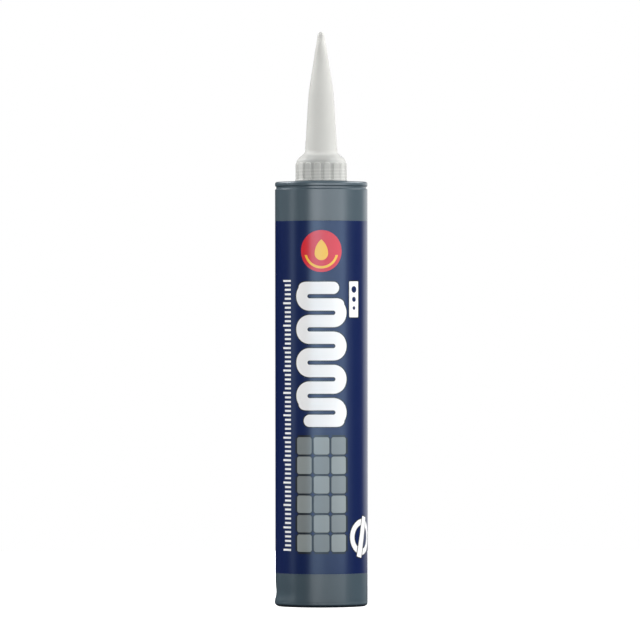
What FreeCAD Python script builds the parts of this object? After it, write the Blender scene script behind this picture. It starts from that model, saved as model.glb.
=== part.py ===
# Caulk tube: grey barrel with a threaded neck, white nozzle, plunger, filling and wrap label
import FreeCAD, Part
import os
import Sketcher

os.makedirs("parts", exist_ok=True)
doc = FreeCAD.newDocument("caulk_tube")

# every length is in millimetres and every name is a cell that the sketches are tied to
values = {
    "barrel_radius": 23.5,
    "barrel_length": 215.6,
    "barrel_wall": 1.5,
    "end_wall": 1.8,
    "rear_round": 0.9,
    "rear_widening": 0.25,
    "rear_widening_length": 8.5,
    "rear_step_length": 0.5,
    "bead_height": 2.2,
    "bead_round": 1.2,
    "groove_height": 1.7,
    "groove_depth": 0.45,
    "groove_flank": 0.2,
    "platform_radius": 14.0,
    "platform_height": 0.7,
    "platform_slope": 0.3,
    "neck_radius": 9.6,
    "neck_wall": 2.4,
    "neck_height": 8.7,
    "nose_height": 4.2,
    "nose_inset": 0.4,
    "nose_wall": 1.5,
    "nose_bore_drop": 0.8,
    "label_bottom": 16.6,
    "label_top_margin": 20.0,
    "label_film": 0.1,
    "label_glue": 0.01,
    "label_seam_angle": 2.4,
    "socket_gap": 0.2,
    "collar_gap": 0.2,
    "collar_wall": 2.8,
    "collar_rise": 0.8,
    "collar_foot_height": 0.5,
    "collar_foot_flare": 0.6,
    "rib_height": 0.5,
    "rib_root": 0.6,
    "rib_width": 3.4,
    "rib_drop": 1.3,
    "rib_bevel": 0.4,
    "rib_count": 16,
    "rib_turn": 13.35,
    "shoulder_low_inset": 0.65,
    "shoulder_low_height": 1.4,
    "shoulder_mid_inset": 3.0,
    "shoulder_mid_height": 3.4,
    "shoulder_height": 5.8,
    "shoulder_top_flare": 0.25,
    "shoulder_top_drop": 0.8,
    "seat_gap": 0.4,
    "cone_radius": 8.2,
    "cone_wall": 1.3,
    "lower_taper_length": 28.4,
    "bend_radius": 6.6,
    "upper_taper_length": 31.9,
    "tip_radius": 1.56,
    "tip_solid_length": 2.5,
    "channel_radius": 0.85,
    "plunger_gap": 0.05,
    "plunger_rear": 10.5,
    "plunger_length": 12.5,
    "plunger_lip_height": 1.4,
    "plunger_lip_depth": 0.45,
    "plunger_lip_slope": 0.5,
    "plunger_edge": 1.1,
    "plunger_edge_drop": 0.8,
    "plunger_skirt": 1.6,
    "plunger_crown": 1.4,
    "hub_radius": 4.5,
    "hub_wall": 1.5,
    "hub_length": 7.6,
    "web_thickness": 1.0,
    "web_length": 6.1,
    "web_root": 0.3,
    "web_count": 6,
    "filling_gap": 0.1,
}

sheet = doc.addObject("Spreadsheet::Sheet", "sizes")
for row, (name, value) in enumerate(values.items(), start=1):
    sheet.set(f"A{row}", name)
    sheet.set(f"B{row}", str(value))
    sheet.setAlias(f"B{row}", name)
doc.recompute()

# heights above the rear rim and radii that several pieces share, each a sum of cells
platformTop = "barrel_length + platform_height"
neckTop = platformTop + " + neck_height"
collarFoot = platformTop + " + collar_gap"
collarTop = neckTop + " + collar_rise"
coneBase = collarTop + " + shoulder_height"
coneBend = coneBase + " + lower_taper_length"
tipTop = coneBend + " + upper_taper_length"
boreRadius = "barrel_radius - barrel_wall"
boreTop = "barrel_length - end_wall"
labelTop = "barrel_length - label_top_margin"
socketRadius = "neck_radius + socket_gap"
collarRadius = socketRadius + " + collar_wall"
coneBore = "cone_radius - cone_wall"
noseRadius = coneBore + " - nose_inset"
neckBore = "neck_radius - neck_wall"
plungerFront = "plunger_rear + plunger_length"
plungerRadius = boreRadius + " - plunger_gap"


def total(words):
    result = 0.0
    sign = 1.0
    for word in words.split():
        if word == "+":
            sign = 1.0
        elif word == "-":
            sign = -1.0
        else:
            result += sign * values[word]
    return result


def tied(words):
    return " ".join(word if word in ("+", "-") else "sizes." + word for word in words.split())


def addBody(name):
    body = doc.addObject("PartDesign::Body", name)
    body.Label = name
    body.Placement = FreeCAD.Placement()
    return body


def originPart(body, role):
    return next(item for item in body.Origin.OriginFeatures if item.Role == role)


def addProfile(body, name, plane, corners):
    # a closed outline: each corner is held by its distance from the axis and from the base
    sketch = body.newObject("Sketcher::SketchObject", name)
    sketch.AttachmentSupport = [(originPart(body, plane), "")]
    sketch.MapMode = "FlatFace"
    doc.recompute()
    places = []
    for across, up in corners:
        places.append(FreeCAD.Vector(total(across) if across else 0.0, total(up) if up else 0.0, 0))
    count = len(places)
    for index in range(count):
        following = places[(index + 1) % count]
        sketch.addGeometry(Part.LineSegment(places[index], following), False)
    for index in range(count):
        sketch.addConstraint(Sketcher.Constraint("Coincident", index, 2, (index + 1) % count, 1))
    for index, (across, up) in enumerate(corners):
        if across:
            tie = sketch.addConstraint(Sketcher.Constraint("DistanceX", -1, 1, index, 1, places[index].x))
            sketch.setExpression(f"Constraints[{tie}]", tied(across))
        else:
            sketch.addConstraint(Sketcher.Constraint("PointOnObject", index, 1, -2))
        if up:
            tie = sketch.addConstraint(Sketcher.Constraint("DistanceY", -1, 1, index, 1, places[index].y))
            sketch.setExpression(f"Constraints[{tie}]", tied(up))
        else:
            sketch.addConstraint(Sketcher.Constraint("PointOnObject", index, 1, -1))
    doc.recompute()
    return sketch


def addTurned(body, name, sketch):
    turned = body.newObject("PartDesign::Revolution", name)
    turned.Profile = sketch
    turned.ReferenceAxis = (sketch, ["V_Axis"])
    turned.Angle = 360
    body.Tip = turned
    doc.recompute()
    return turned


def addRing(body, name, sketch, widthWords, countWords):
    # one plate through the axis plane, repeated around the axis
    plate = body.newObject("PartDesign::Pad", name)
    plate.Profile = sketch
    plate.SideType = "Symmetric"
    plate.setExpression("Length", tied(widthWords))
    body.Tip = plate
    doc.recompute()
    ring = body.newObject("PartDesign::PolarPattern", name + "_ring")
    ring.Originals = [plate]
    ring.Axis = (originPart(body, "Z_Axis"), [""])
    ring.Angle = 360
    ring.setExpression("Occurrences", tied(countWords))
    body.Tip = ring
    doc.recompute()
    return ring


def rimEdge(feature, radius, height):
    # the name of the round edge with this radius at this height
    for index, edge in enumerate(feature.Shape.Edges, start=1):
        curve = edge.Curve
        if isinstance(curve, Part.Circle):
            if abs(curve.Radius - radius) < 0.001 and abs(curve.Center.z - height) < 0.001:
                return f"Edge{index}"
    raise RuntimeError(f"no round edge of radius {radius} at height {height}")


def addRound(body, name, base, radius, height, words):
    rounded = body.newObject("PartDesign::Fillet", name)
    rounded.Base = (base, [rimEdge(base, radius, height)])
    rounded.setExpression("Radius", words)
    body.Tip = rounded
    doc.recompute()
    return rounded


# barrel: tube, front wall with its rim bead, raised middle and closed neck, all one moulding
barrel = addBody("barrel")
barrelOutline = addProfile(barrel, "barrel_outline", "XZ_Plane", [
    (boreRadius + " + rear_widening", ""),
    ("barrel_radius", ""),
    ("barrel_radius", "label_bottom"),
    ("barrel_radius - label_film", "label_bottom"),
    ("barrel_radius - label_film", labelTop),
    ("barrel_radius", labelTop),
    ("barrel_radius", "barrel_length - bead_height - groove_height"),
    ("barrel_radius - groove_depth", "barrel_length - bead_height - groove_height + groove_flank"),
    ("barrel_radius - groove_depth", "barrel_length - bead_height - groove_flank"),
    ("barrel_radius", "barrel_length - bead_height"),
    ("barrel_radius", "barrel_length"),
    ("platform_radius", "barrel_length"),
    ("platform_radius - platform_slope", platformTop),
    ("neck_radius", platformTop),
    ("neck_radius", neckTop),
    (noseRadius, neckTop + " + nose_height"),
    ("", neckTop + " + nose_height"),
    ("", neckTop + " + nose_height - nose_wall"),
    (noseRadius + " - nose_wall", neckTop + " + nose_height - nose_wall"),
    (neckBore, neckTop + " - nose_bore_drop"),
    (neckBore, boreTop),
    (boreRadius, boreTop),
    (boreRadius, "rear_widening_length + rear_step_length"),
    (boreRadius + " + rear_widening", "rear_widening_length"),
])
barrelTurned = addTurned(barrel, "barrel_turned", barrelOutline)
barrelRear = addRound(barrel, "barrel_rear_round", barrelTurned, values["barrel_radius"], 0.0, "sizes.rear_round")
addRound(
    barrel, "barrel_bead_round", barrelRear, values["barrel_radius"], values["barrel_length"], "sizes.bead_round"
)

# label: thin film sunk flush into the barrel, with a narrow seam at the back
label = addBody("label")
labelOutline = addProfile(label, "label_outline", "YZ_Plane", [
    ("barrel_radius - label_film + label_glue", "label_bottom + label_glue"),
    ("barrel_radius", "label_bottom + label_glue"),
    ("barrel_radius", labelTop + " - label_glue"),
    ("barrel_radius - label_film + label_glue", labelTop + " - label_glue"),
])
labelTurned = addTurned(label, "label_turned", labelOutline)
labelTurned.setExpression("Angle", "360 - sizes.label_seam_angle")
doc.recompute()

# nozzle: ribbed collar that sits over the neck, shoulder and hollow cone with a closed tip
nozzle = addBody("nozzle")
nozzleOutline = addProfile(nozzle, "nozzle_outline", "XZ_Plane", [
    (socketRadius, collarFoot),
    (collarRadius + " + collar_foot_flare", collarFoot),
    (collarRadius + " + collar_foot_flare", collarFoot + " + collar_foot_height"),
    (collarRadius, collarFoot + " + collar_foot_height"),
    (collarRadius, collarTop),
    (collarRadius + " - shoulder_low_inset", collarTop + " + shoulder_low_height"),
    (collarRadius + " - shoulder_mid_inset", collarTop + " + shoulder_mid_height"),
    ("cone_radius + shoulder_top_flare", coneBase + " - shoulder_top_drop"),
    ("cone_radius", coneBase),
    ("bend_radius", coneBend),
    ("tip_radius", tipTop),
    ("", tipTop),
    ("", tipTop + " - tip_solid_length"),
    ("channel_radius", tipTop + " - tip_solid_length"),
    ("bend_radius - cone_wall", coneBend),
    (coneBore, coneBase),
    (coneBore, neckTop + " + nose_height + seat_gap"),
    (socketRadius, neckTop + " + seat_gap"),
])
nozzleTurned = addTurned(nozzle, "nozzle_turned", nozzleOutline)
nozzleTip = addRound(
    nozzle, "nozzle_tip_round", nozzleTurned, values["tip_radius"], total(tipTop), "sizes.tip_radius * 0.8"
)
ribOutline = addProfile(nozzle, "rib_outline", "XZ_Plane", [
    (collarRadius + " - rib_root", collarFoot + " + collar_foot_height"),
    (collarRadius + " + rib_height", collarFoot + " + collar_foot_height"),
    (collarRadius + " + rib_height", collarTop + " - rib_drop - rib_bevel"),
    (collarRadius, collarTop + " - rib_drop"),
    (collarRadius + " - rib_root", collarTop + " - rib_drop"),
])
ribOutline.setExpression(".AttachmentOffset.Rotation.Axis.x", "0")
ribOutline.setExpression(".AttachmentOffset.Rotation.Axis.y", "1")
ribOutline.setExpression(".AttachmentOffset.Rotation.Axis.z", "0")
ribOutline.setExpression(".AttachmentOffset.Rotation.Angle", "sizes.rib_turn")
doc.recompute()
addRing(nozzle, "nozzle_rib", ribOutline, "rib_width", "rib_count")

# piston: the plunger cup with two sealing lips, a hub and radial webs behind its crown
piston = addBody("piston")
pistonOutline = addProfile(piston, "piston_outline", "XZ_Plane", [
    ("", plungerFront),
    ("", plungerFront + " - plunger_crown"),
    ("hub_radius - hub_wall", plungerFront + " - plunger_crown"),
    ("hub_radius - hub_wall", plungerFront + " - plunger_crown - hub_length"),
    ("hub_radius", plungerFront + " - plunger_crown - hub_length"),
    ("hub_radius", plungerFront + " - plunger_crown"),
    (plungerRadius + " - plunger_skirt", plungerFront + " - plunger_crown"),
    (plungerRadius + " - plunger_skirt", "plunger_rear"),
    (plungerRadius, "plunger_rear"),
    (plungerRadius, "plunger_rear + plunger_lip_height"),
    (plungerRadius + " - plunger_lip_depth", "plunger_rear + plunger_lip_height + plunger_lip_slope"),
    (
        plungerRadius + " - plunger_lip_depth",
        plungerFront + " - plunger_edge_drop - plunger_lip_height - plunger_lip_slope",
    ),
    (plungerRadius, plungerFront + " - plunger_edge_drop - plunger_lip_height"),
    (plungerRadius, plungerFront + " - plunger_edge_drop"),
    (plungerRadius + " - plunger_edge", plungerFront),
])
addTurned(piston, "piston_turned", pistonOutline)
webOutline = addProfile(piston, "web_outline", "XZ_Plane", [
    ("hub_radius - web_root", plungerFront + " - plunger_crown - web_length"),
    (plungerRadius + " - plunger_skirt + web_root", plungerFront + " - plunger_crown - web_length"),
    (plungerRadius + " - plunger_skirt + web_root", plungerFront + " - plunger_crown + web_root"),
    ("hub_radius - web_root", plungerFront + " - plunger_crown + web_root"),
])
addRing(piston, "piston_web", webOutline, "web_thickness", "web_count")

# sealant: the paste between the plunger and the front wall, and inside the neck
sealant = addBody("sealant")
sealantOutline = addProfile(sealant, "sealant_outline", "XZ_Plane", [
    ("", plungerFront + " + filling_gap"),
    (boreRadius + " - filling_gap", plungerFront + " + filling_gap"),
    (boreRadius + " - filling_gap", boreTop + " - filling_gap"),
    (neckBore + " - filling_gap", boreTop + " - filling_gap"),
    (neckBore + " - filling_gap", neckTop + " - nose_bore_drop - filling_gap"),
    (noseRadius + " - nose_wall - filling_gap", neckTop + " + nose_height - nose_wall - filling_gap"),
    ("", neckTop + " + nose_height - nose_wall - filling_gap"),
])
addTurned(sealant, "sealant_turned", sealantOutline)

doc.recompute()
for item in doc.Objects:
    for state in ("Invalid", "Error"):
        if state in item.State:
            raise RuntimeError(f"{item.Name} is {state}")

for body in (barrel, label, nozzle, piston, sealant):
    shape = body.Shape
    if shape.isNull() or not shape.isValid() or len(shape.Solids) != 1:
        raise RuntimeError(f"{body.Label} is not one valid solid")
    shape.exportStep(f"parts/{body.Label}.step")
    box = shape.BoundBox
    print(f"{body.Label}: {shape.Volume:.1f} mm3, z {box.ZMin:.2f} to {box.ZMax:.2f}, x {box.XMin:.2f} to {box.XMax:.2f}")
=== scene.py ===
# Caulk tube: looks of the barrel, label, nozzle, plunger and filling
import bmesh
import bpy
import math
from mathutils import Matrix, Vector


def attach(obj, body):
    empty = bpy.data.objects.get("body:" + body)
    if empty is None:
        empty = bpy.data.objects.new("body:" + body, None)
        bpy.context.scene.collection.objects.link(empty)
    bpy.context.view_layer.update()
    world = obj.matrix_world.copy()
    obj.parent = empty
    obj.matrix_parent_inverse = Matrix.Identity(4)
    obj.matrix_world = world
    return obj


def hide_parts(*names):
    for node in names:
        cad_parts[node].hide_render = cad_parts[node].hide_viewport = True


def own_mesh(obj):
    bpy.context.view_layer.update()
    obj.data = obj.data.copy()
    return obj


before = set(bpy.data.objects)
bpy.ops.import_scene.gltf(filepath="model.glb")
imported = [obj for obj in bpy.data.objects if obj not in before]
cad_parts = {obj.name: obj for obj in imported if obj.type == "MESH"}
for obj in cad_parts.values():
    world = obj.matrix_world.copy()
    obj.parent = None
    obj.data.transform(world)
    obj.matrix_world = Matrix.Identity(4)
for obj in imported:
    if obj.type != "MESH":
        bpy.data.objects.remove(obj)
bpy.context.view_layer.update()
mm = 0.001
print("frame loaded:", ", ".join(sorted(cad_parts)))


# shader tools

class Wire:
    # a shader socket that can stand in sums, so that 1 - mask adds its own Math node
    def __init__(self, finish, socket):
        self.finish = finish
        self.socket = socket

    def maths(self, operation, *others):
        return self.finish.node("Math", {"operation": operation}, dict(enumerate((self,) + others)))

    def __add__(self, other):
        return self.maths("ADD", other)

    def __sub__(self, other):
        return self.maths("SUBTRACT", other)

    def __mul__(self, other):
        return self.maths("MULTIPLY", other)

    def __truediv__(self, other):
        return self.maths("DIVIDE", other)

    def __rsub__(self, other):
        return self.finish.node("Math", {"operation": "SUBTRACT"}, {0: other, 1: self})

    def __neg__(self):
        return self * -1.0

    def __abs__(self):
        return self.maths("ABSOLUTE")

    __radd__ = __add__
    __rmul__ = __mul__

    def least(self, other):
        return self.maths("MINIMUM", other)

    def most(self, other):
        return self.maths("MAXIMUM", other)

    def root(self):
        return self.maths("SQRT")

    def fold(self, span):  # runs up and down between 0 and span
        return self.maths("PINGPONG", span)

    def repeat(self, span):  # starts again at 0 after each span
        return self.maths("FLOORED_MODULO", span)

    def step(self, low, high):  # smooth rise from 0 to 1
        sockets = {"Value": self, "From Min": low, "From Max": high}
        return self.finish.node("MapRange", {"interpolation_type": "SMOOTHSTEP"}, sockets)


class Finish:
    # the nodes of one material or of the world
    def __init__(self, tree):
        self.tree = tree
        tree.nodes.clear()

    def node(self, kind, settings=None, sockets=None, out=0):
        made = self.tree.nodes.new("ShaderNode" + kind)
        for key, value in (settings or {}).items():
            setattr(made, key, value)
        for key, value in (sockets or {}).items():
            if isinstance(value, Wire):
                self.tree.links.new(value.socket, made.inputs[key])
            else:
                made.inputs[key].default_value = value
        return Wire(self, made.outputs[out]) if made.outputs else None

    def mix(self, factor, first, second):
        return self.node("Mix", {"data_type": "RGBA"}, {0: factor, 6: first, 7: second}, out=2)

    def axes(self, source):
        parts = self.node("SeparateXYZ", sockets={0: source})
        return [Wire(self, socket) for socket in parts.socket.node.outputs]

    def place(self, out="Object"):
        return self.node("TexCoord", out=out)

    def noise(self, scale, detail, stretch=None):
        where = self.place()
        if stretch:
            where = self.node("VectorMath", {"operation": "MULTIPLY"}, {0: where, 1: stretch})
        return self.node("TexNoise", sockets={"Vector": where, "Scale": scale, "Detail": detail})

    def bump(self, height, strength, distance):
        return self.node("Bump", sockets={"Height": height, "Strength": strength, "Distance": distance})


def startMaterial(name):
    material = bpy.data.materials.new(name)
    material.use_nodes = True
    return material, Finish(material.node_tree)


def closeMaterial(finish, sockets):
    surface = finish.node("BsdfPrincipled", sockets=sockets)
    finish.node("OutputMaterial", sockets={"Surface": surface})


def tint(red, green, blue):
    return (red, green, blue, 1.0)


# mesh tools: outlines are lists of (radius, height) in millimetres, turned about the axis

def roundedOutline(corners, steps=6):
    # each corner is (radius, height, rounding)
    points = []
    for index, (radius, height, rounding) in enumerate(corners):
        here = Vector((radius, height))
        if not rounding:
            points.append(here)
            continue
        last = corners[index - 1]
        following = corners[(index + 1) % len(corners)]
        before = Vector(last[:2]) - here
        after = Vector(following[:2]) - here
        half = before.angle(after) / 2
        # a rounding takes half of the span to the next corner, or all of it where that corner is sharp
        roomBefore = before.length * (0.49 if last[2] else 0.98)
        roomAfter = after.length * (0.49 if following[2] else 0.98)
        reach = min(rounding / math.tan(half), roomBefore, roomAfter)
        size = reach * math.tan(half)
        middle = here + (before.normalized() + after.normalized()).normalized() * size / math.sin(half)
        start = here + before.normalized() * reach - middle
        end = here + after.normalized() * reach - middle
        for step in range(steps + 1):
            share = step / steps
            points.append(middle + (start * (1 - share) + end * share).normalized() * size)
    return points


def divided(points, longest, low, high):
    # adds rows where a long span lies between two heights
    result = []
    for index, here in enumerate(points):
        result.append(here)
        after = points[(index + 1) % len(points)]
        lowest = min(here.y, after.y)
        highest = max(here.y, after.y)
        if lowest < low - 0.001 or highest > high + 0.001:
            continue
        count = math.ceil((after - here).length / longest)
        for step in range(1, count):
            result.append(here.lerp(after, step / count))
    return result


def braced(points, margin=0.12):
    # rows close to the ends of long spans keep the shading of flat walls flat
    result = []
    for index, here in enumerate(points):
        result.append(here)
        after = points[(index + 1) % len(points)]
        length = (after - here).length
        if length > 4 * margin:
            result.append(here.lerp(after, margin / length))
            result.append(after.lerp(here, margin / length))
    return result


def evenAngles(count, start=0.0, sweep=2 * math.pi):
    return [start + sweep * step / count for step in range(count)]


def turnedPiece(name, outline, angles, shape=None, whole=True):
    # angles run from the front towards +X; shape moves a point outwards by some millimetres;
    # whole joins the last column to the first, and otherwise both are closed with an end face
    mesh = bmesh.new()
    rows = []
    for radius, height in braced(outline):
        if radius < 0.0001:
            rows.append([mesh.verts.new((0, 0, height * mm))] * len(angles))
            continue
        row = []
        for angle in angles:
            reach = radius + (shape(radius, height, angle) if shape else 0.0)
            right = reach * math.sin(angle) * mm
            back = -reach * math.cos(angle) * mm
            row.append(mesh.verts.new((right, back, height * mm)))
        rows.append(row)
    for index, low in enumerate(rows):
        high = rows[(index + 1) % len(rows)]
        for column in range(len(angles) if whole else len(angles) - 1):
            beside = (column + 1) % len(angles)
            corners = list(dict.fromkeys([low[column], low[beside], high[beside], high[column]]))
            if len(corners) > 2:
                mesh.faces.new(corners)
    if not whole:
        for column in (0, -1):
            mesh.faces.new([row[column] for row in rows])
    return finishPiece(name, mesh)


def shadeSmooth(data):
    data.shade_smooth()
    data.set_sharp_from_angle(angle=math.radians(32))


def finishPiece(name, mesh):
    bmesh.ops.recalc_face_normals(mesh, faces=mesh.faces)
    data = bpy.data.meshes.new(name)
    mesh.to_mesh(data)
    mesh.free()
    shadeSmooth(data)
    piece = bpy.data.objects.new(name, data)
    bpy.context.scene.collection.objects.link(piece)
    return piece


def dress(piece, material, body, node):
    piece.data.materials.append(material)
    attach(piece, body)
    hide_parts(node)
    print(piece.name, "made,", len(piece.data.polygons), "faces")


# camera: far away and level, so the sides of the tube stay upright

cameraSizes = {"distance": 3.33, "height": 0.14535, "aside": -0.0007, "lens": 368.2, "roll": 0.06}

cameraData = bpy.data.cameras.new("camera")
cameraData.lens = cameraSizes["lens"]
cameraData.sensor_width = 36.0
cameraData.clip_start = 0.05
camera = bpy.data.objects.new("camera", cameraData)
camera.location = (cameraSizes["aside"], -cameraSizes["distance"], cameraSizes["height"])
camera.rotation_euler = (math.radians(90), math.radians(cameraSizes["roll"]), 0)
bpy.context.scene.collection.objects.link(camera)
bpy.context.scene.camera = camera
bpy.context.scene.view_settings.view_transform = "Standard"
print("camera set")


# screw thread shared by the neck and by the inside of the collar

# ridgeFoot and ridgeFlank are shares of the pitch: half of a ridge's width, and the width of its flank
thread = {
    "pitch": 1.6, "height": 0.5, "low": 217.6, "high": 222.6, "fade": 0.8,
    "ridgeFoot": 0.36, "ridgeFlank": 0.2,
}


def threadRise(height, angle):
    # a right-hand thread of rounded trapezoids that fades out at both ends
    phase = (height / thread["pitch"] - angle / (2 * math.pi)) % 1.0
    slope = min(max((thread["ridgeFoot"] - abs(phase - 0.5)) / thread["ridgeFlank"], 0.0), 1.0)
    fromLow = (height - thread["low"]) / thread["fade"]
    fromHigh = (thread["high"] - height) / thread["fade"]
    ends = max(min(fromLow, fromHigh, 1.0), 0.0)
    return thread["height"] * slope * slope * (3 - 2 * slope) * ends


# barrel

barrelSizes = {
    "radius": 23.5, "bore": 22.0, "length": 215.6, "wall": 1.8, "columns": 240,
    # the rear rim's band of painted shade, in millimetres up from the rear end
    "rearBore": 22.25, "rearBoreLength": 8.5, "rearRise": 0.9, "rearRound": 2.2, "rimShadeBand": (0.6, 1.75),
    "seamLine": 2.4, "seamDepth": 0.045, "seamHalf": 0.25,
    "labelLow": 16.85, "labelHigh": 195.6, "labelFilm": 0.1,
    "grooveLow": 211.7, "grooveHigh": 213.4, "grooveDepth": 0.6, "rimRound": 1.4,
    "platform": 14.0, "platformRise": 0.4, "noseWall": 1.5,
    "neckRoot": 9.15, "neckBore": 7.2, "neckHigh": 225.0, "noseRadius": 6.5, "noseHigh": 229.2,
    "waist": 0.38, "waistHeight": 7.2, "waistReach": 3.6,
    "flare": 0.48, "flareHeight": 2.4, "flareReach": 2.2,
}


def barrelOutline(size):
    outside = size["radius"]
    film = outside - size["labelFilm"]
    groove = outside - size["grooveDepth"]
    seam = size["seamLine"]
    top = size["length"] + size["platformRise"]
    inside = size["length"] - size["wall"]
    noseInside = size["noseHigh"] - size["noseWall"]
    return roundedOutline([
        (size["rearBore"], 0.0, 0.0),
        (outside, size["rearRise"], size["rearRound"]),
        (outside, seam - size["seamHalf"], 0.08),
        (outside - size["seamDepth"], seam, 0.1),
        (outside, seam + size["seamHalf"], 0.08),
        (outside, size["labelLow"], 0.04),
        (film, size["labelLow"], 0.02),
        (film, size["labelHigh"], 0.02),
        (outside, size["labelHigh"], 0.04),
        (outside, size["grooveLow"] - 0.1, 0.12),
        (groove, size["grooveLow"] + 0.35, 0.12),
        (groove, size["grooveHigh"] - 0.3, 0.08),
        (outside, size["grooveHigh"] + 0.05, 0.25),
        (outside, size["length"], size["rimRound"]),
        (size["platform"] + 0.1, size["length"], 0.3),
        (size["platform"] - 0.3, top, 0.3),
        (size["neckRoot"], top, 0.2),
        (size["neckRoot"], size["neckHigh"], 0.5),
        (size["noseRadius"], size["noseHigh"], 0.25),
        (0.0, size["noseHigh"], 0.0),
        (0.0, noseInside, 0.0),
        (size["noseRadius"] - size["noseWall"], noseInside, 0.3),
        (size["neckBore"], size["neckHigh"] - 0.8, 0.3),
        (size["neckBore"], inside, 0.3),
        (size["bore"], inside, 0.6),
        (size["bore"], size["rearBoreLength"] + 0.5, 0.1),
        (size["rearBore"], size["rearBoreLength"], 0.1),
    ])


def barrelShape(radius, height, angle):
    size = barrelSizes
    if size["neckBore"] + 0.5 < radius < size["neckRoot"] + 0.1:
        return threadRise(height, angle)
    if radius < size["bore"] - 0.5 or height > size["labelLow"]:
        return 0.0
    # on the left it is pressed in slightly low down, and swells below that
    side = max(-math.sin(angle), 0.0) ** 3
    waist = math.exp(-((height - size["waistHeight"]) / size["waistReach"]) ** 2) * size["waist"]
    flare = math.exp(-((height - size["flareHeight"]) / size["flareReach"]) ** 2) * size["flare"]
    return side * (flare - waist)


def barrelFinish():
    material, finish = startMaterial("barrelPlastic")
    cloud = finish.noise(55.0, 3.0)
    streak = finish.noise(240.0, 2.0, stretch=(1.0, 1.0, 0.04))
    grain = finish.noise(2600.0, 2.0)
    blotch = cloud * 0.5 + streak * 0.5
    x, y, z = finish.axes(finish.place())
    height = z * 1000.0
    # painted shade: the tube's colour darkens gradually from the front end towards the rear end
    front = finish.mix(blotch, tint(0.056, 0.081, 0.099), tint(0.065, 0.092, 0.111))
    rear = finish.mix(blotch, tint(0.045, 0.069, 0.087), tint(0.053, 0.079, 0.098))
    colour = finish.mix(height.step(0.0, barrelSizes["length"]), rear, front)
    # painted shade: the rear rim is painted darker, as if in its own shade, and its roughness rises
    # there
    unshaded = height.step(*barrelSizes["rimShadeBand"])  # the rear rim is darker and dull
    closeMaterial(finish, {
        "Base Color": finish.mix(unshaded, tint(0.010, 0.018, 0.027), colour),
        "Roughness": 0.26 + 0.05 * cloud + 0.03 * grain + 0.3 * (1.0 - unshaded),
        "Normal": finish.bump(cloud * 0.6 + grain * 0.1, 0.12, 0.0004),
        "IOR": 1.5,
        "Specular Tint": tint(0.89, 0.95, 1.0),
    })
    return material


outline = barrelOutline(barrelSizes)
outline = divided(outline, 0.9, 0.0, barrelSizes["labelLow"])
outline = divided(outline, 0.12, thread["low"] - 1.5, barrelSizes["neckHigh"])
barrel = turnedPiece("barrelTube", outline, evenAngles(barrelSizes["columns"]), barrelShape)
dress(barrel, barrelFinish(), "barrel", "barrel")


# label: a thin film, flush with the barrel, with a narrow seam at the back

labelSizes = {"radius": 23.5, "film": 0.085, "low": 16.87, "high": 195.58, "seam": 0.9, "columns": 240}

labelColours = {
    "navy": tint(0.003, 0.010, 0.064),
    "black": tint(0.012, 0.012, 0.013),
    "white": tint(0.82, 0.82, 0.82),
    "grey": tint(0.25, 0.275, 0.27),
    "darkGrey": tint(0.19, 0.21, 0.21),
    "red": tint(0.62, 0.018, 0.026),
    "yellow": tint(0.85, 0.50, 0.03),
}

# millimetres round the tube from the front's middle, and up from the rear rim
printPlaces = {
    "rim": 0.55,  # black line round the white and grey shapes
    "spot": (0.0, 180.2), "spotRadius": 10.6,
    "arcRadius": 8.2, "arcHalf": 0.6, "arcTop": -2.0,
    "dropRadius": 3.4, "dropLift": -1.2, "dropAside": 5.6,
    "beadLow": 94.4, "beadRuns": 9, "beadPitch": 8.4, "beadStraight": 6.1, "beadHalf": 3.1,
    "tileLow": 27.6, "tileWide": 9.0, "tileHigh": 9.85, "tileRows": 6, "tileColumns": 3,
    "tileJoint": 1.1, "tileCorner": 1.2,
    "tickNear": -16.9, "tickFar": -21.3, "tickLow": 29.0, "tickHigh": 165.0,
    "tickPitch": 2.27, "tickHalf": 0.5, "tickLonger": 0.7, "tickNearLong": 0.7, "tickCorner": 0.2,
    "tickPast": 0.6,
    "patch": (18.3, 155.8), "patchHalf": (3.2, 9.1), "patchCorner": 0.5,
    "dots": ((5.0, 1.7), (0.0, 1.3), (-4.4, 0.9)),  # height above the patch's middle, and radius
    "ring": (24.6, 35.4), "ringRadius": 7.6, "ringHalf": 1.5,
    "barHalf": (2.0, 10.5), "barCorner": 0.4, "barTurn": 14.0,
    "panelUp": 70.0, "panelHalf": (17.0, 30.0), "panelCorner": 2.0,
}


def inside(distance, soft=0.05):
    return 1.0 - distance.step(-soft, soft)


def spotAt(across, up, place, radius):
    across = across - place[0]
    up = up - place[1]
    return (across * across + up * up).root() - radius


def plateAt(across, up, halfAcross, halfUp, corner):
    outAcross = (abs(across) - (halfAcross - corner)).most(0.0)
    outUp = (abs(up) - (halfUp - corner)).most(0.0)
    return (outAcross * outAcross + outUp * outUp).root() - corner


def hairpins(across, up, first):
    # hairpin bends on one side, every second gap between the runs of the bead
    place = printPlaces
    pitch = place["beadPitch"]
    up = up - place["beadLow"] - first * pitch
    held = up.most(0.0).least(pitch * (place["beadRuns"] - 2))
    beyond = up - held
    past = (across - place["beadStraight"]).most(0.0)
    short = (-place["beadStraight"] - across).most(0.0)
    level = (held - pitch / 2).fold(pitch)
    bend = (past * past + level * level).root() - pitch / 2
    return (short * short + bend * bend + beyond * beyond).root() - place["beadHalf"]


def beadAt(across, up):
    # a squeezed bead that runs to and fro
    return hairpins(across, up, 0).least(hairpins(-across, up, 1))


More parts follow.
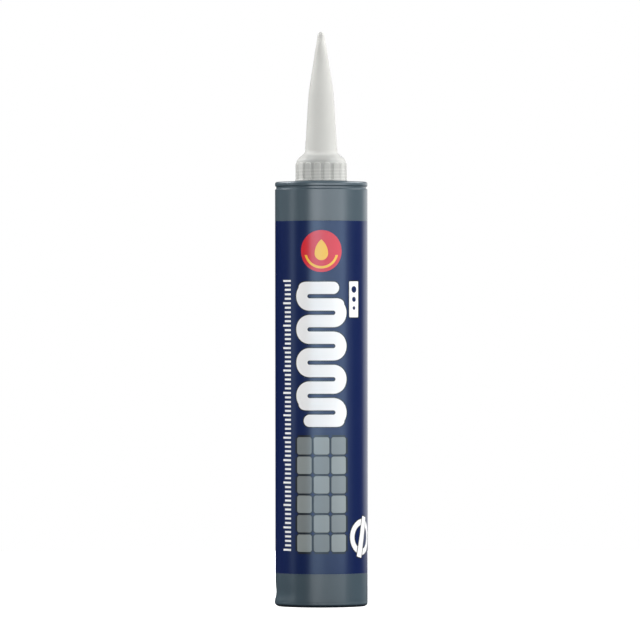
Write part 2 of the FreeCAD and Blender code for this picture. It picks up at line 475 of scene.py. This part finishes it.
def tilesAt(across, up):
    # the tiles, and which of two greys each has
    place = printPlaces
    wide = place["tileWide"]
    high = place["tileHigh"]
    joint = place["tileJoint"]
    corner = place["tileCorner"]
    halfWide = wide * place["tileColumns"] / 2
    halfHigh = high * place["tileRows"] / 2
    column = across + halfWide
    row = up - place["tileLow"]
    tileAcross = column.repeat(wide) - wide / 2
    tileUp = row.repeat(high) - high / 2
    tile = plateAt(tileAcross, tileUp, (wide - joint) / 2, (high - joint) / 2, corner)
    block = plateAt(column - halfWide, row - halfHigh, halfWide, halfHigh, corner)
    turns = ((column / wide).maths("FLOOR") + (row / high).maths("FLOOR")).repeat(2.0)
    return tile.most(block), turns


def ticksAt(across, up):
    # a scale along the tube, with a long tick at every fifth step
    place = printPlaces
    pitch = place["tickPitch"]
    up = up - place["tickLow"]
    longer = inside(up.fold(pitch * 2.5) - place["tickNearLong"]) * place["tickLonger"]
    middle = (place["tickNear"] + place["tickFar"]) / 2
    reach = (place["tickNear"] - place["tickFar"]) / 2 + longer
    tickAcross = across - middle + longer
    tick = plateAt(tickAcross, up.fold(pitch / 2), reach, place["tickHalf"], place["tickCorner"])
    length = place["tickHigh"] - place["tickLow"]
    return tick.most(abs(up - length / 2) - (length / 2 + place["tickPast"]))


def badgeAt(across, up):
    # a round spot, and the drop and the arc on it
    place = printPlaces
    spotUp = up - place["spot"][1]
    spot = spotAt(across, up, place["spot"], place["spotRadius"])
    arc = abs(spotAt(across, up, place["spot"], place["arcRadius"])) - place["arcHalf"]
    arc = arc.most(spotUp - place["arcTop"])
    dropUp = spotUp - place["dropLift"]
    bowl = spotAt(across, dropUp, (0.0, 0.0), place["dropRadius"])
    aside = place["dropAside"]
    lens = spotAt(abs(across), dropUp, (-aside, 0.0), aside + place["dropRadius"])
    drop = bowl.least(lens.most(-dropUp))
    return spot, arc.least(drop)


def tagAt(across, up):
    # a plain tag, and the dots on it
    place = printPlaces
    patchAcross = across - place["patch"][0]
    patchUp = up - place["patch"][1]
    patch = plateAt(patchAcross, patchUp, *place["patchHalf"], place["patchCorner"])
    spots = [spotAt(patchAcross, patchUp, (0.0, dotUp), radius) for dotUp, radius in place["dots"]]
    return patch, spots[0].least(spots[1]).least(spots[2])


def ringAt(across, up):
    # a ring, and the bar across it
    place = printPlaces
    ringAcross = across - place["ring"][0]
    ringUp = up - place["ring"][1]
    ring = abs(spotAt(ringAcross, ringUp, (0.0, 0.0), place["ringRadius"])) - place["ringHalf"]
    sine = math.sin(math.radians(place["barTurn"]))
    cosine = math.cos(math.radians(place["barTurn"]))
    barAcross = ringAcross * cosine - ringUp * sine
    barUp = ringAcross * sine + ringUp * cosine
    return ring, plateAt(barAcross, barUp, *place["barHalf"], place["barCorner"])


def panelAt(across, up):
    # the plain panel at the back, the same on both sides of the seam
    place = printPlaces
    backAcross = labelSizes["radius"] * math.pi - abs(across)
    return plateAt(backAcross, up - place["panelUp"], *place["panelHalf"], place["panelCorner"])


def labelFinish():
    material, finish = startMaterial("labelPrint")
    x, y, z = finish.axes(finish.place())
    across = x.maths("ARCTAN2", -y) * labelSizes["radius"]
    up = z * 1000.0
    spot, drop = badgeAt(across, up)
    tiles, turns = tilesAt(across, up)
    greys = finish.mix(turns, labelColours["grey"], labelColours["darkGrey"])
    patch, dots = tagAt(across, up)
    ring, bar = ringAt(across, up)
    colour = labelColours["navy"]
    layers = [
        # shape, paint, with or without a black line round it
        (tiles, greys, True),
        (beadAt(across, up), labelColours["white"], True),
        (ticksAt(across, up), labelColours["white"], False),
        (patch, labelColours["white"], True),
        (dots, labelColours["navy"], False),
        (ring, labelColours["white"], True),
        (bar, labelColours["white"], True),
        (panelAt(across, up), labelColours["white"], True),
        (spot, labelColours["red"], False),
        (drop, labelColours["yellow"], False),
    ]
    printed = 0.0
    for shape, paint, ringed in layers:
        if ringed:
            colour = finish.mix(inside(shape - printPlaces["rim"]), colour, labelColours["black"])
        mask = inside(shape)
        colour = finish.mix(mask, colour, paint)
        printed = mask + printed
    cloud = finish.noise(60.0, 3.0)
    grain = finish.noise(3000.0, 2.0)
    closeMaterial(finish, {
        "Base Color": colour,
        "Roughness": 0.25 + 0.05 * cloud + 0.03 * grain,
        "Normal": finish.bump(printed.least(1.0) * 0.3 + cloud * 0.5 + grain * 0.06, 0.12, 0.0004),
        "IOR": 1.5,
        "Specular Tint": tint(0.55, 0.76, 0.97),
    })
    return material


outline = roundedOutline([
    (labelSizes["radius"] - labelSizes["film"], labelSizes["low"], 0.0),
    (labelSizes["radius"], labelSizes["low"], 0.03),
    (labelSizes["radius"], labelSizes["high"], 0.03),
    (labelSizes["radius"] - labelSizes["film"], labelSizes["high"], 0.0),
], 2)
outline = divided(outline, 12.0, labelSizes["low"] - 0.1, labelSizes["high"] + 0.1)
seamAngle = labelSizes["seam"] / labelSizes["radius"]
sweep = 2 * math.pi - seamAngle
angles = evenAngles(labelSizes["columns"], seamAngle / 2 - math.pi, sweep) + [math.pi - seamAngle / 2]
label = turnedPiece("labelWrap", outline, angles, whole=False)
dress(label, labelFinish(), "barrel", "label")


# nozzle

nozzleSizes = {
    "foot": 216.1, "footHigh": 216.75, "footRadius": 13.2, "collarRadius": 12.6, "ringHigh": 225.6,
    "ribs": 16, "ribTurn": 13.35, "ribHeight": 0.5, "ribHalf": 1.72, "ribHigh": 225.3,
    "ribCorner": 1.3, "ribEdge": 0.45,
    "socketRoot": 9.82, "socketHigh": 225.4,
    "hollow": 6.9, "hollowLow": 229.6, "hollowHigh": 231.6, "hollowBend": (5.25, 260.0),
    "channel": 0.85, "channelHigh": 289.4,
    # how much the wall hides of what lies behind it, and where it shows more or less of that
    "wallHides": 0.66, "liningHides": 0.08, "ridgeHides": 0.08, "grooveShows": 0.12,
    "shoulderShows": 0.08, "shoulderLow": (225.0, 226.2), "shoulderHigh": (229.8, 231.6),
    # the heights of the painted shade on the rounded tip
    "solidTip": (276.0, 288.0), "tipShade": (287.0, 291.2),
}

# radius and height of the outside, from the collar to the cone
shoulderLine = [
    (12.58, 225.9), (12.45, 226.4), (12.2, 226.85), (11.9, 227.25), (11.35, 227.8), (10.75, 228.35),
    (10.05, 228.9), (9.42, 229.4), (8.9, 229.9), (8.55, 230.4), (8.33, 230.95), (8.22, 231.6),
]

# the cone, with two tapers and a rounded tip
coneLine = [
    (7.9, 236.5), (7.6, 241.5), (7.28, 246.7), (6.95, 252.0), (6.63, 257.2), (6.42, 260.0),
    (6.12, 262.6), (5.75, 265.1), (5.35, 267.6), (4.95, 270.1), (4.55, 272.6), (4.1, 275.4),
    (3.65, 278.2), (3.2, 281.1), (2.74, 284.0), (2.28, 286.9), (1.86, 289.5),
    (1.66, 290.4), (1.38, 291.1), (0.98, 291.6), (0.5, 291.85), (0.0, 291.9),
]


def nozzleOutline(size):
    # three parts: the foot and the collar, the outside above it, and the hollow from the tip down
    low = roundedOutline([
        (size["socketRoot"], size["foot"], 0.1),
        (size["footRadius"], size["foot"], 0.18),
        (size["footRadius"], size["footHigh"], 0.18),
        (size["collarRadius"], size["footHigh"] + 0.05, 0.1),
        (size["collarRadius"], size["ringHigh"], 0.0),
    ], 3)
    outside = [Vector(point) for point in shoulderLine + coneLine]
    hollow = [
        Vector((0.0, size["channelHigh"])),
        Vector((size["channel"], size["channelHigh"])),
        Vector(size["hollowBend"]),
        Vector((size["hollow"], size["hollowHigh"])),
        Vector((size["hollow"], size["hollowLow"])),
        Vector((size["socketRoot"], size["socketHigh"])),
    ]
    return low, outside, hollow


def ribAngles(size):
    # more columns at the edges of a rib than on its face or in the groove
    pitch = 2 * math.pi / size["ribs"]
    halfPitch = pitch / 2 * size["collarRadius"]
    edge = size["ribHalf"]
    across = [0.0, 0.5, 1.0, 1.3]
    across += [edge - 0.3 + 0.075 * step for step in range(7)]
    across += [halfPitch - 0.35]
    whole = sorted([-value for value in across[1:]] + across) + [halfPitch]
    turns = [value / size["collarRadius"] for value in whole]
    start = math.radians(size["ribTurn"])
    return [start + pitch * rib + turn for rib in range(size["ribs"]) for turn in turns]


def nozzleShape(radius, height, angle):
    # the thread's grooves in the socket, and the ribs on the collar
    size = nozzleSizes
    if abs(radius - size["socketRoot"]) < 0.05 and thread["low"] - 0.6 < height < size["socketHigh"]:
        return threadRise(height, angle) - thread["height"]
    if abs(radius - size["collarRadius"]) > 0.05 or height > size["ribHigh"]:
        return 0.0
    pitch = 2 * math.pi / size["ribs"]
    turn = (angle - math.radians(size["ribTurn"]) + pitch / 2) % pitch - pitch / 2
    across = abs(turn) * size["collarRadius"]
    corner = size["ribCorner"]
    outAcross = max(across - size["ribHalf"] + corner, 0.0)
    outUp = max(height - size["ribHigh"] + corner, 0.0)
    depth = corner - math.hypot(outAcross, outUp)
    share = min(max(depth / size["ribEdge"] + 0.15, 0.0), 1.0)
    return size["ribHeight"] * share * (2 - share)


def nozzleFinish(name, hides):
    # hides: how much of what lies behind the wall it hides, from its height and its turn round the axis
    material, finish = startMaterial(name)
    x, y, z = finish.axes(finish.place())
    height = z * 1000.0
    cloud = finish.noise(80.0, 3.0)
    grain = finish.noise(2200.0, 2.0)
    colour = finish.mix(cloud, tint(0.585, 0.585, 0.555), tint(0.635, 0.635, 0.605))
    closeMaterial(finish, {
        # painted shade: the rounded tip is painted greyer than the rest of the nozzle
        "Base Color": finish.mix(height.step(*nozzleSizes["tipShade"]), colour, tint(0.52, 0.52, 0.50)),
        "Roughness": 0.42 + 0.06 * cloud + 0.03 * grain,
        "Normal": finish.bump(cloud * 0.5 + grain * 0.1, 0.1, 0.0003),
        "IOR": 1.4,
        "Specular Tint": tint(0.45, 0.45, 0.45),
        "Alpha": hides(height, x.maths("ARCTAN2", -y) / (2 * math.pi)),
    })
    return material


def wallHides(height, turn):
    # the wall is thinner between the ribs and at the shoulder, and thicker on the ridges of the thread
    size = nozzleSizes
    place = (turn * size["ribs"] - size["ribTurn"] / 360 * size["ribs"]).repeat(1.0)
    groove = (0.5 - abs(place - 0.5)).step(0.32, 0.40) * (size["ribHigh"] - height).step(0.0, 0.8)
    phase = (height / thread["pitch"] - turn).repeat(1.0)
    foot = thread["ridgeFoot"]
    ridge = 1.0 - abs(phase - 0.5).step(foot - thread["ridgeFlank"], foot)
    ridge = ridge * (thread["high"] - height).step(0.0, thread["fade"])
    solid = height.step(*size["solidTip"]) * (1.0 - size["wallHides"])
    shoulder = height.step(*size["shoulderLow"]) * (1.0 - height.step(*size["shoulderHigh"]))
    thin = size["grooveShows"] * groove + size["shoulderShows"] * shoulder
    return size["wallHides"] + size["ridgeHides"] * ridge + solid - thin


def liningHides(height, turn):
    return nozzleSizes["liningHides"]


# close rows where the ribs and the thread need them; each list ends where divided turns back
low, outside, hollow = nozzleOutline(nozzleSizes)
ribbed = divided(low[-2:], 0.16, nozzleSizes["footHigh"], nozzleSizes["ringHigh"])
ribbed = ribbed[:ribbed.index(low[-1]) + 1]
socketFoot = Vector((nozzleSizes["socketRoot"], nozzleSizes["foot"] + 0.1))
socket = divided([hollow[-1], socketFoot], 0.12, nozzleSizes["foot"], nozzleSizes["ringHigh"])
socket = [point for index, point in enumerate(socket) if index == 0 or point.y < socket[index - 1].y]
outline = low[:-2] + ribbed + outside + hollow[:-1] + socket
nozzle = turnedPiece("nozzleCone", outline, ribAngles(nozzleSizes), nozzleShape)
dress(nozzle, nozzleFinish("nozzleWall", wallHides), "nozzle", "nozzle")
nozzle.data.materials.append(nozzleFinish("nozzleLining", liningHides))
for face in nozzle.data.polygons:  # faces that look inwards are the lining
    outward = face.normal.dot(Vector((face.center.x, face.center.y, 0.0)).normalized())
    if outward < 0.01 and face.center.z > (nozzleSizes["foot"] + 0.1) * mm:
        face.material_index = 1


# plunger: a cup with two sealing lips, a hub and webs

plungerSizes = {
    "radius": 21.95, "rear": 10.5, "front": 23.0, "skirt": 20.35, "crown": 1.4,
    "hub": 4.5, "hubBore": 3.0, "hubRear": 14.0,
    "webs": 6, "webHalf": 0.5, "webRear": 15.5, "columns": 192,
    "lipDepth": 0.45, "rearLip": (1.4, 1.9), "frontLip": (2.7, 2.2), "frontEdge": (1.1, 0.8),
}


def plungerOutline(size):
    under = size["front"] - size["crown"]
    between = size["radius"] - size["lipDepth"]
    rearEnd, rearFlank = size["rearLip"]
    frontFlank, frontEnd = size["frontLip"]
    edgeAcross, edgeUp = size["frontEdge"]
    return roundedOutline([
        (0.0, size["front"], 0.0),
        (0.0, under, 0.0),
        (size["hubBore"], under, 0.3),
        (size["hubBore"], size["hubRear"], 0.3),
        (size["hub"], size["hubRear"], 0.3),
        (size["hub"], under, 0.4),
        (size["skirt"], under, 0.5),
        (size["skirt"], size["rear"], 0.3),
        (size["radius"], size["rear"], 0.35),
        (size["radius"], size["rear"] + rearEnd, 0.2),
        (between, size["rear"] + rearFlank, 0.2),
        (between, size["front"] - frontFlank, 0.2),
        (size["radius"], size["front"] - frontEnd, 0.2),
        (size["radius"], size["front"] - edgeUp, 0.2),
        (size["radius"] - edgeAcross, size["front"], 0.3),
    ], 4)


def addWeb(mesh, angle, size):
    outward = Vector((math.sin(angle), -math.cos(angle), 0.0))
    sideways = Vector((outward.y, -outward.x, 0.0))
    upper = size["front"] - size["crown"] + 0.2
    bar = bmesh.ops.create_cube(mesh, size=1.0)["verts"]
    for vertex in bar:
        reach = size["hub"] - 0.2 if vertex.co.x < 0 else size["skirt"] + 0.2
        height = size["webRear"] if vertex.co.z < 0 else upper
        place = outward * reach + sideways * vertex.co.y * 2 * size["webHalf"]
        vertex.co = (place.x * mm, place.y * mm, height * mm)
    edges = {edge for vertex in bar for edge in vertex.link_edges}
    bmesh.ops.bevel(mesh, geom=list(edges), offset=0.18 * mm, segments=2, affect="EDGES")


def plungerFinish():
    material, finish = startMaterial("plungerPlastic")
    cloud = finish.noise(90.0, 3.0)
    grain = finish.noise(1800.0, 2.0)
    colour = finish.mix(cloud, tint(0.74, 0.74, 0.71), tint(0.80, 0.80, 0.77))
    closeMaterial(finish, {
        "Base Color": colour,
        "Roughness": 0.38 + 0.08 * cloud,
        "Normal": finish.bump(cloud * 0.4 + grain * 0.15, 0.15, 0.0003),
        "IOR": 1.5,
    })
    return material


cup = turnedPiece("plungerCup", plungerOutline(plungerSizes), evenAngles(plungerSizes["columns"]))
webs = bmesh.new()
webs.from_mesh(cup.data)
for angle in evenAngles(plungerSizes["webs"], math.pi / 2):
    addWeb(webs, angle, plungerSizes)
webs.to_mesh(cup.data)
webs.free()
shadeSmooth(cup.data)
dress(cup, plungerFinish(), "plunger", "piston")


# filling: the paste, with a mesh of its own

pasteSizes = {
    "radius": 21.9, "low": 23.1, "high": 213.7, "edge": 0.9,
    "neck": 7.05, "neckHigh": 224.1, "noseRadius": 4.9, "noseHigh": 227.6,
    "kept": 0.008, "columns": 96,
}


def pasteFinish():
    material, finish = startMaterial("sealantPaste")
    smear = finish.noise(130.0, 4.0, stretch=(1.0, 1.0, 0.3))
    closeMaterial(finish, {
        "Base Color": finish.mix(smear, tint(0.62, 0.62, 0.6), tint(0.7, 0.7, 0.68)),
        "Roughness": 0.4 + 0.1 * smear,
        "Normal": finish.bump(smear, 0.2, 0.0005),
    })
    return material


paste = turnedPiece("sealantFilling", roundedOutline([
    (0.0, pasteSizes["low"], 0.0),
    (pasteSizes["radius"] - pasteSizes["edge"], pasteSizes["low"], 0.4),
    (pasteSizes["radius"], pasteSizes["low"] + pasteSizes["edge"], 0.4),
    (pasteSizes["radius"], pasteSizes["high"], 0.4),
    (pasteSizes["neck"], pasteSizes["high"], 0.2),
    (pasteSizes["neck"], pasteSizes["neckHigh"], 0.2),
    (pasteSizes["noseRadius"], pasteSizes["noseHigh"], 0.2),
    (0.0, pasteSizes["noseHigh"], 0.0),
]), evenAngles(pasteSizes["columns"]))
dress(paste, pasteFinish(), "barrel", "sealant")
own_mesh(paste)


# studio: two rows of soft panels of light all round the tube, and a pale floor

# a panel's angles run from the camera's side towards +X; its brightness is the third number
studio = {
    "lowPanels": [
        (-84, -70, 2.3), (-60, -38, 0.3), (-29, 64, 5.0), (-26, 2, 2.5),
        (48, 62, 1.0), (66, 82, 0.8), (128, 170, 1.4),
    ],
    "lowHeight": (-5, 12),
    "highPanels": [(-132, -86, 9.6), (71, 132, 7.8), (-200, 200, 0.38)],
    "highHeight": (17, 52),
    "soft": 5.5, "glow": 0.85, "floor": 0.8,
}


def lightRoom():
    world = bpy.data.worlds.new("studio")
    world.use_nodes = True
    bpy.context.scene.world = world
    finish = Finish(world.node_tree)
    x, y, z = finish.axes(finish.place("Generated"))
    around = x.maths("ARCTAN2", -y) * (180 / math.pi)
    up = z.maths("ARCSINE") * (180 / math.pi)
    soft = studio["soft"]

    def between(angle, start, end):
        return angle.step(start - soft, start + soft) * (1.0 - angle.step(end - soft, end + soft))

    light = 0.0
    for row in ("low", "high"):
        level = 0.0
        for start, end, brightness in studio[row + "Panels"]:
            level = between(around, start, end) * brightness + level
        light = level * between(up, *studio[row + "Height"]) + light
    room = finish.node("Background", sockets={"Color": tint(1, 1, 1), "Strength": light})
    plain = finish.node("Background", sockets={"Color": tint(1, 1, 1), "Strength": 1.0})
    seen = finish.node("LightPath", out="Is Camera Ray")
    shown = finish.node("MixShader", sockets={0: seen, 1: room, 2: plain})
    finish.node("OutputWorld", sockets={"Surface": shown})


def layFloor():
    mesh = bmesh.new()
    bmesh.ops.create_circle(mesh, cap_ends=True, segments=64, radius=studio["floor"])
    floor = finishPiece("floor", mesh)
    material, finish = startMaterial("floorPaper")
    seen = finish.node("LightPath", out="Is Camera Ray")
    pale = finish.node("BsdfDiffuse", sockets={"Color": tint(0.8, 0.8, 0.8)})
    glow = finish.node("Emission", sockets={"Color": tint(1, 1, 1), "Strength": studio["glow"]})
    lit = finish.node("AddShader", sockets={0: pale, 1: glow})
    dim = finish.node("BsdfDiffuse", sockets={"Color": tint(0.03, 0.03, 0.03)})
    shown = finish.node("MixShader", sockets={0: seen, 1: dim, 2: lit})
    finish.node("OutputMaterial", sockets={"Surface": shown})
    floor.data.materials.append(material)
    floor.location.z = -0.0002


lightRoom()
layFloor()
print("studio lit")
